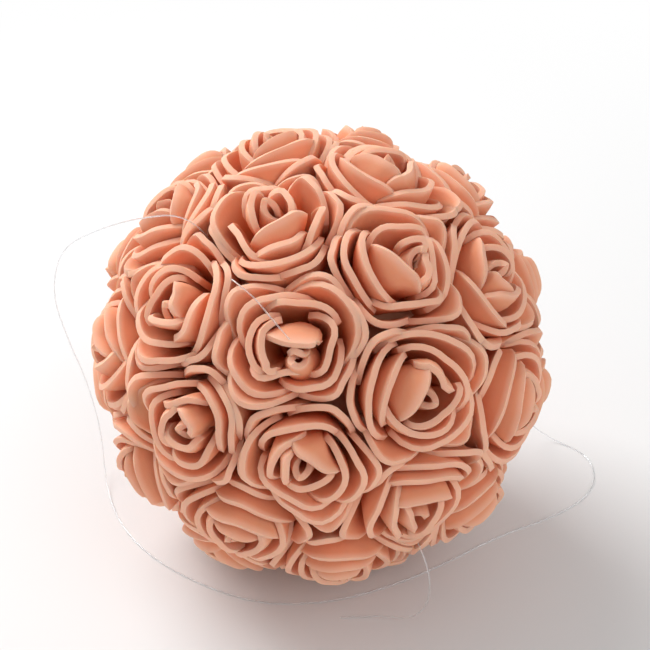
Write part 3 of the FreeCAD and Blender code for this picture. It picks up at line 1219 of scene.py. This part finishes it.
@dataclass(frozen=True)
class Studio:
    """Plain pale floor that fades to white, soft lamps and an even sky."""

    floor_size: float = 6.0
    floor_colour: Colour = (0.82, 0.82, 0.82, 1.0)
    white: Colour = (1.0, 1.0, 1.0, 1.0)
    fade: tuple[float, float] = (0.13, 0.42)
    sky: float = 0.46
    lamps: tuple[Lamp, ...] = (
        Lamp("window", (-0.55, 0.45, 0.75), 0.7, 10.5),
        Lamp("fill", (0.5, -0.7, 0.6), 0.9, 3.0),
    )

    def seen(self, tree: bpy.types.NodeTree) -> bpy.types.NodeSocket:
        """Adds the nodes that tell what is looked at from what only gives light.

        Args:
            tree: Node tree of the floor or of the sky.

        Returns:
            A value of 1 for the camera's rays, reflections and what shows through clear things.
        """
        rays = tree.nodes.new("ShaderNodeLightPath")
        value = rays.outputs["Is Camera Ray"]
        for kind in ("Is Glossy Ray", "Is Transmission Ray"):
            larger = tree.nodes.new("ShaderNodeMath")
            larger.operation = "MAXIMUM"
            tree.links.new(value, larger.inputs[0])
            tree.links.new(rays.outputs[kind], larger.inputs[1])
            value = larger.outputs["Value"]
        return value

    def fade_floor(self, tree: bpy.types.NodeTree) -> None:
        """Lets the floor fade to plain white away from the object.

        Args:
            tree: Node tree of the floor's material.
        """
        nodes, links = tree.nodes, tree.links
        place = nodes.new("ShaderNodeTexCoord")
        away = nodes.new("ShaderNodeVectorMath")
        away.operation = "LENGTH"
        links.new(place.outputs["Object"], away.inputs[0])
        share = nodes.new("ShaderNodeMath")
        share.operation = "MULTIPLY"
        links.new(add_range(tree, away.outputs["Value"], start=self.fade, smooth=True), share.inputs[0])
        links.new(self.seen(tree), share.inputs[1])
        white = nodes.new("ShaderNodeEmission")
        white.inputs["Color"].default_value = self.white
        mix = nodes.new("ShaderNodeMixShader")
        links.new(share.outputs["Value"], mix.inputs["Fac"])
        links.new(nodes["Principled BSDF"].outputs["BSDF"], mix.inputs[1])
        links.new(white.outputs["Emission"], mix.inputs[2])
        links.new(mix.outputs["Shader"], nodes["Material Output"].inputs["Surface"])

    def floor(self) -> None:
        """Lays the floor, shadowed by the object."""
        work = bmesh.new()
        bmesh.ops.create_grid(work, x_segments=1, y_segments=1, size=self.floor_size / 2)
        mesh = bpy.data.meshes.new("studio_floor")
        work.to_mesh(mesh)
        work.free()
        material = bpy.data.materials.new("studio_floor")
        material.use_nodes = True
        shader = material.node_tree.nodes["Principled BSDF"]
        shader.inputs["Base Color"].default_value = self.floor_colour
        shader.inputs["Roughness"].default_value = 0.9
        self.fade_floor(material.node_tree)
        mesh.materials.append(material)
        add_object("studio_floor", mesh)

    def build(self, centre: Vector) -> None:
        """Sets up floor, lamps and sky.

        Args:
            centre: Middle of the ball.
        """
        self.floor()
        for lamp in self.lamps:
            lamp.build(centre)
        world = bpy.data.worlds.new("even_sky")
        world.use_nodes = True
        tree = world.node_tree
        sky = tree.nodes["Background"]
        sky.inputs["Color"].default_value = self.white
        tree.links.new(add_range(tree, self.seen(tree), end=(self.sky, 1.0)), sky.inputs["Strength"])
        bpy.context.scene.world = world


PEACH_FOAM = FoamFinish(
    name="peach_foam_painted_light",
    # Painted crease shade at the petals' feet.
    painted_crease_shade=(0.78, 0.215, 0.075, 1.0),
    face=(0.86, 0.35, 0.195, 1.0),
    # Painted highlight along the petals' cut rims.
    rim=(0.91, 0.49, 0.34, 1.0),
)
CORE_FOAM = PlainFinish("expanded_foam", (0.86, 0.38, 0.21, 1.0), (0.90, 0.46, 0.29, 1.0), 700.0, 0.8)
STEM_WIRE = PlainFinish(
    "stem_wire", (0.30, 0.30, 0.30, 1.0), (0.55, 0.55, 0.55, 1.0), 500.0, 0.35, metallic=1.0
)


# Places where the thread leaves the ball, as a way from its middle, and the thread's free points in metres
LOOP_START = (-0.5099, -0.2955, 0.8079)
LOOP_END = (0.8389, 0.0644, -0.5405)
FRONT_END = (0.4267, -0.7328, -0.5300)
TOP_END = (-0.3468, -0.6007, 0.7203)
ON_FLOOR = 0.000225

LOOP_POINTS: tuple[tuple[float, float, float], ...] = (
    (-0.0420, -0.0170, 0.1040),
    (-0.0540, -0.0030, 0.0935),
    (-0.0650, 0.0040, 0.0845),
    (-0.0695, 0.0100, 0.0680),
    (-0.0685, 0.0200, 0.0480),
    (-0.0660, 0.0300, 0.0280),
    (-0.0630, 0.0300, 0.0100),
    (-0.0610, 0.0170, ON_FLOOR),
    (-0.0550, -0.0010, ON_FLOOR),
    (-0.0450, -0.0150, ON_FLOOR),
    (-0.0310, -0.0260, ON_FLOOR),
    (-0.0150, -0.0335, ON_FLOOR),
    (0.0030, -0.0325, ON_FLOOR),
    (0.0190, -0.0260, ON_FLOOR),
    (0.0340, -0.0165, ON_FLOOR),
    (0.0485, -0.0055, ON_FLOOR),
    (0.0660, 0.0035, ON_FLOOR),
    (0.0780, 0.0150, ON_FLOOR),
    (0.0790, 0.0310, ON_FLOOR),
    (0.0680, 0.0400, ON_FLOOR),
    (0.0600, 0.0380, 0.0080),
    (0.0590, 0.0270, 0.0200),
)
FRONT_END_POINTS: tuple[tuple[float, float, float], ...] = (
    (0.0270, -0.0470, 0.0130),
    (0.0230, -0.0435, 0.0040),
    (0.0150, -0.0375, ON_FLOOR),
    (0.0050, -0.0385, ON_FLOOR),
)
TOP_END_POINTS: tuple[tuple[float, float, float], ...] = (
    (-0.0150, -0.0435, 0.0985),
    (-0.0105, -0.0475, 0.0945),
)


@dataclass(frozen=True)
class ThreadRoutes:
    """Routes of the thread's three free stretches over the ball, in metres."""

    centre: Vector
    core_radius: float
    rose_height: float = 0.020
    in_core: float = 0.0038
    above: float = 0.0020
    half_way: float = 0.4
    lean: float = 0.00035

    def out_of_gap(self, way: tuple[float, float, float], lean: Vector) -> list[Vector]:
        """First points of a stretch: from the bottom of its hole out between the roses.

        Args:
            way: Direction of the gap from the ball's middle.
            lean: Direction that the thread leans to, half-way up.

        Returns:
            Three points.
        """
        axis = Vector(way).normalized()
        low = self.centre + axis * (self.core_radius - self.in_core)
        half = self.centre + axis * (self.core_radius + self.half_way * self.rose_height)
        high = self.centre + axis * (self.core_radius + self.rose_height + self.above)
        return [low, half + lean * self.lean, high]

    def threads(self, bud_axis: Vector) -> list[Thread]:
        """Lists the loop and the two cut ends.

        Args:
            bud_axis: Axis of the rose whose bud carries the upper end.

        Returns:
            The three stretches.
        """
        side, up = Vector((1, 0, 0)), Vector((0, 0, 1))
        loop = self.out_of_gap(LOOP_START, side) + [Vector(p) for p in LOOP_POINTS]
        loop += self.out_of_gap(LOOP_END, side)[::-1]
        front = self.out_of_gap(FRONT_END, side) + [Vector(p) for p in FRONT_END_POINTS]
        tip = self.centre + bud_axis * (self.core_radius + self.rose_height + ON_FLOOR)
        top = self.out_of_gap(TOP_END, up) + [Vector(p) for p in TOP_END_POINTS] + [tip]
        return [
            Thread("hanging_thread", tuple(loop), 447.6, "object"),
            Thread("thread_front_end", tuple(front), 65.4, "bare"),
            Thread("thread_top_end", tuple(top), 46.2, "bare"),
        ]


def dress_cad(nodes: dict[str, bpy.types.Material]) -> None:
    """Gives the CAD nodes that stay their finishes.

    Args:
        nodes: Material for each node's name.
    """
    for name, material in nodes.items():
        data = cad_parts[name].data
        data.materials.clear()
        data.materials.append(material)
        log.info("%s: %s", name, material.name)


def main() -> None:
    """Builds the scene in order."""
    logging.basicConfig(level=logging.INFO, format="%(message)s")
    bpy.context.scene.view_settings.view_transform = "Standard"
    ball = RoseBall()
    View().build(ball.centre())
    nylon = NylonFinish().build()
    threads = ThreadRoutes(ball.centre(), ball.core_radius() * MM).threads(ball.axes()["rose_01"])
    for thread in threads:
        thread.build(nylon)
    ball.build(PEACH_FOAM.build())
    dress_cad({"foam_core": CORE_FOAM.build(), "wire_stems": STEM_WIRE.build()})
    dress_cad({thread.node: nylon for thread in threads})
    Studio().build(ball.centre())


if __name__ == "__main__":
    main()
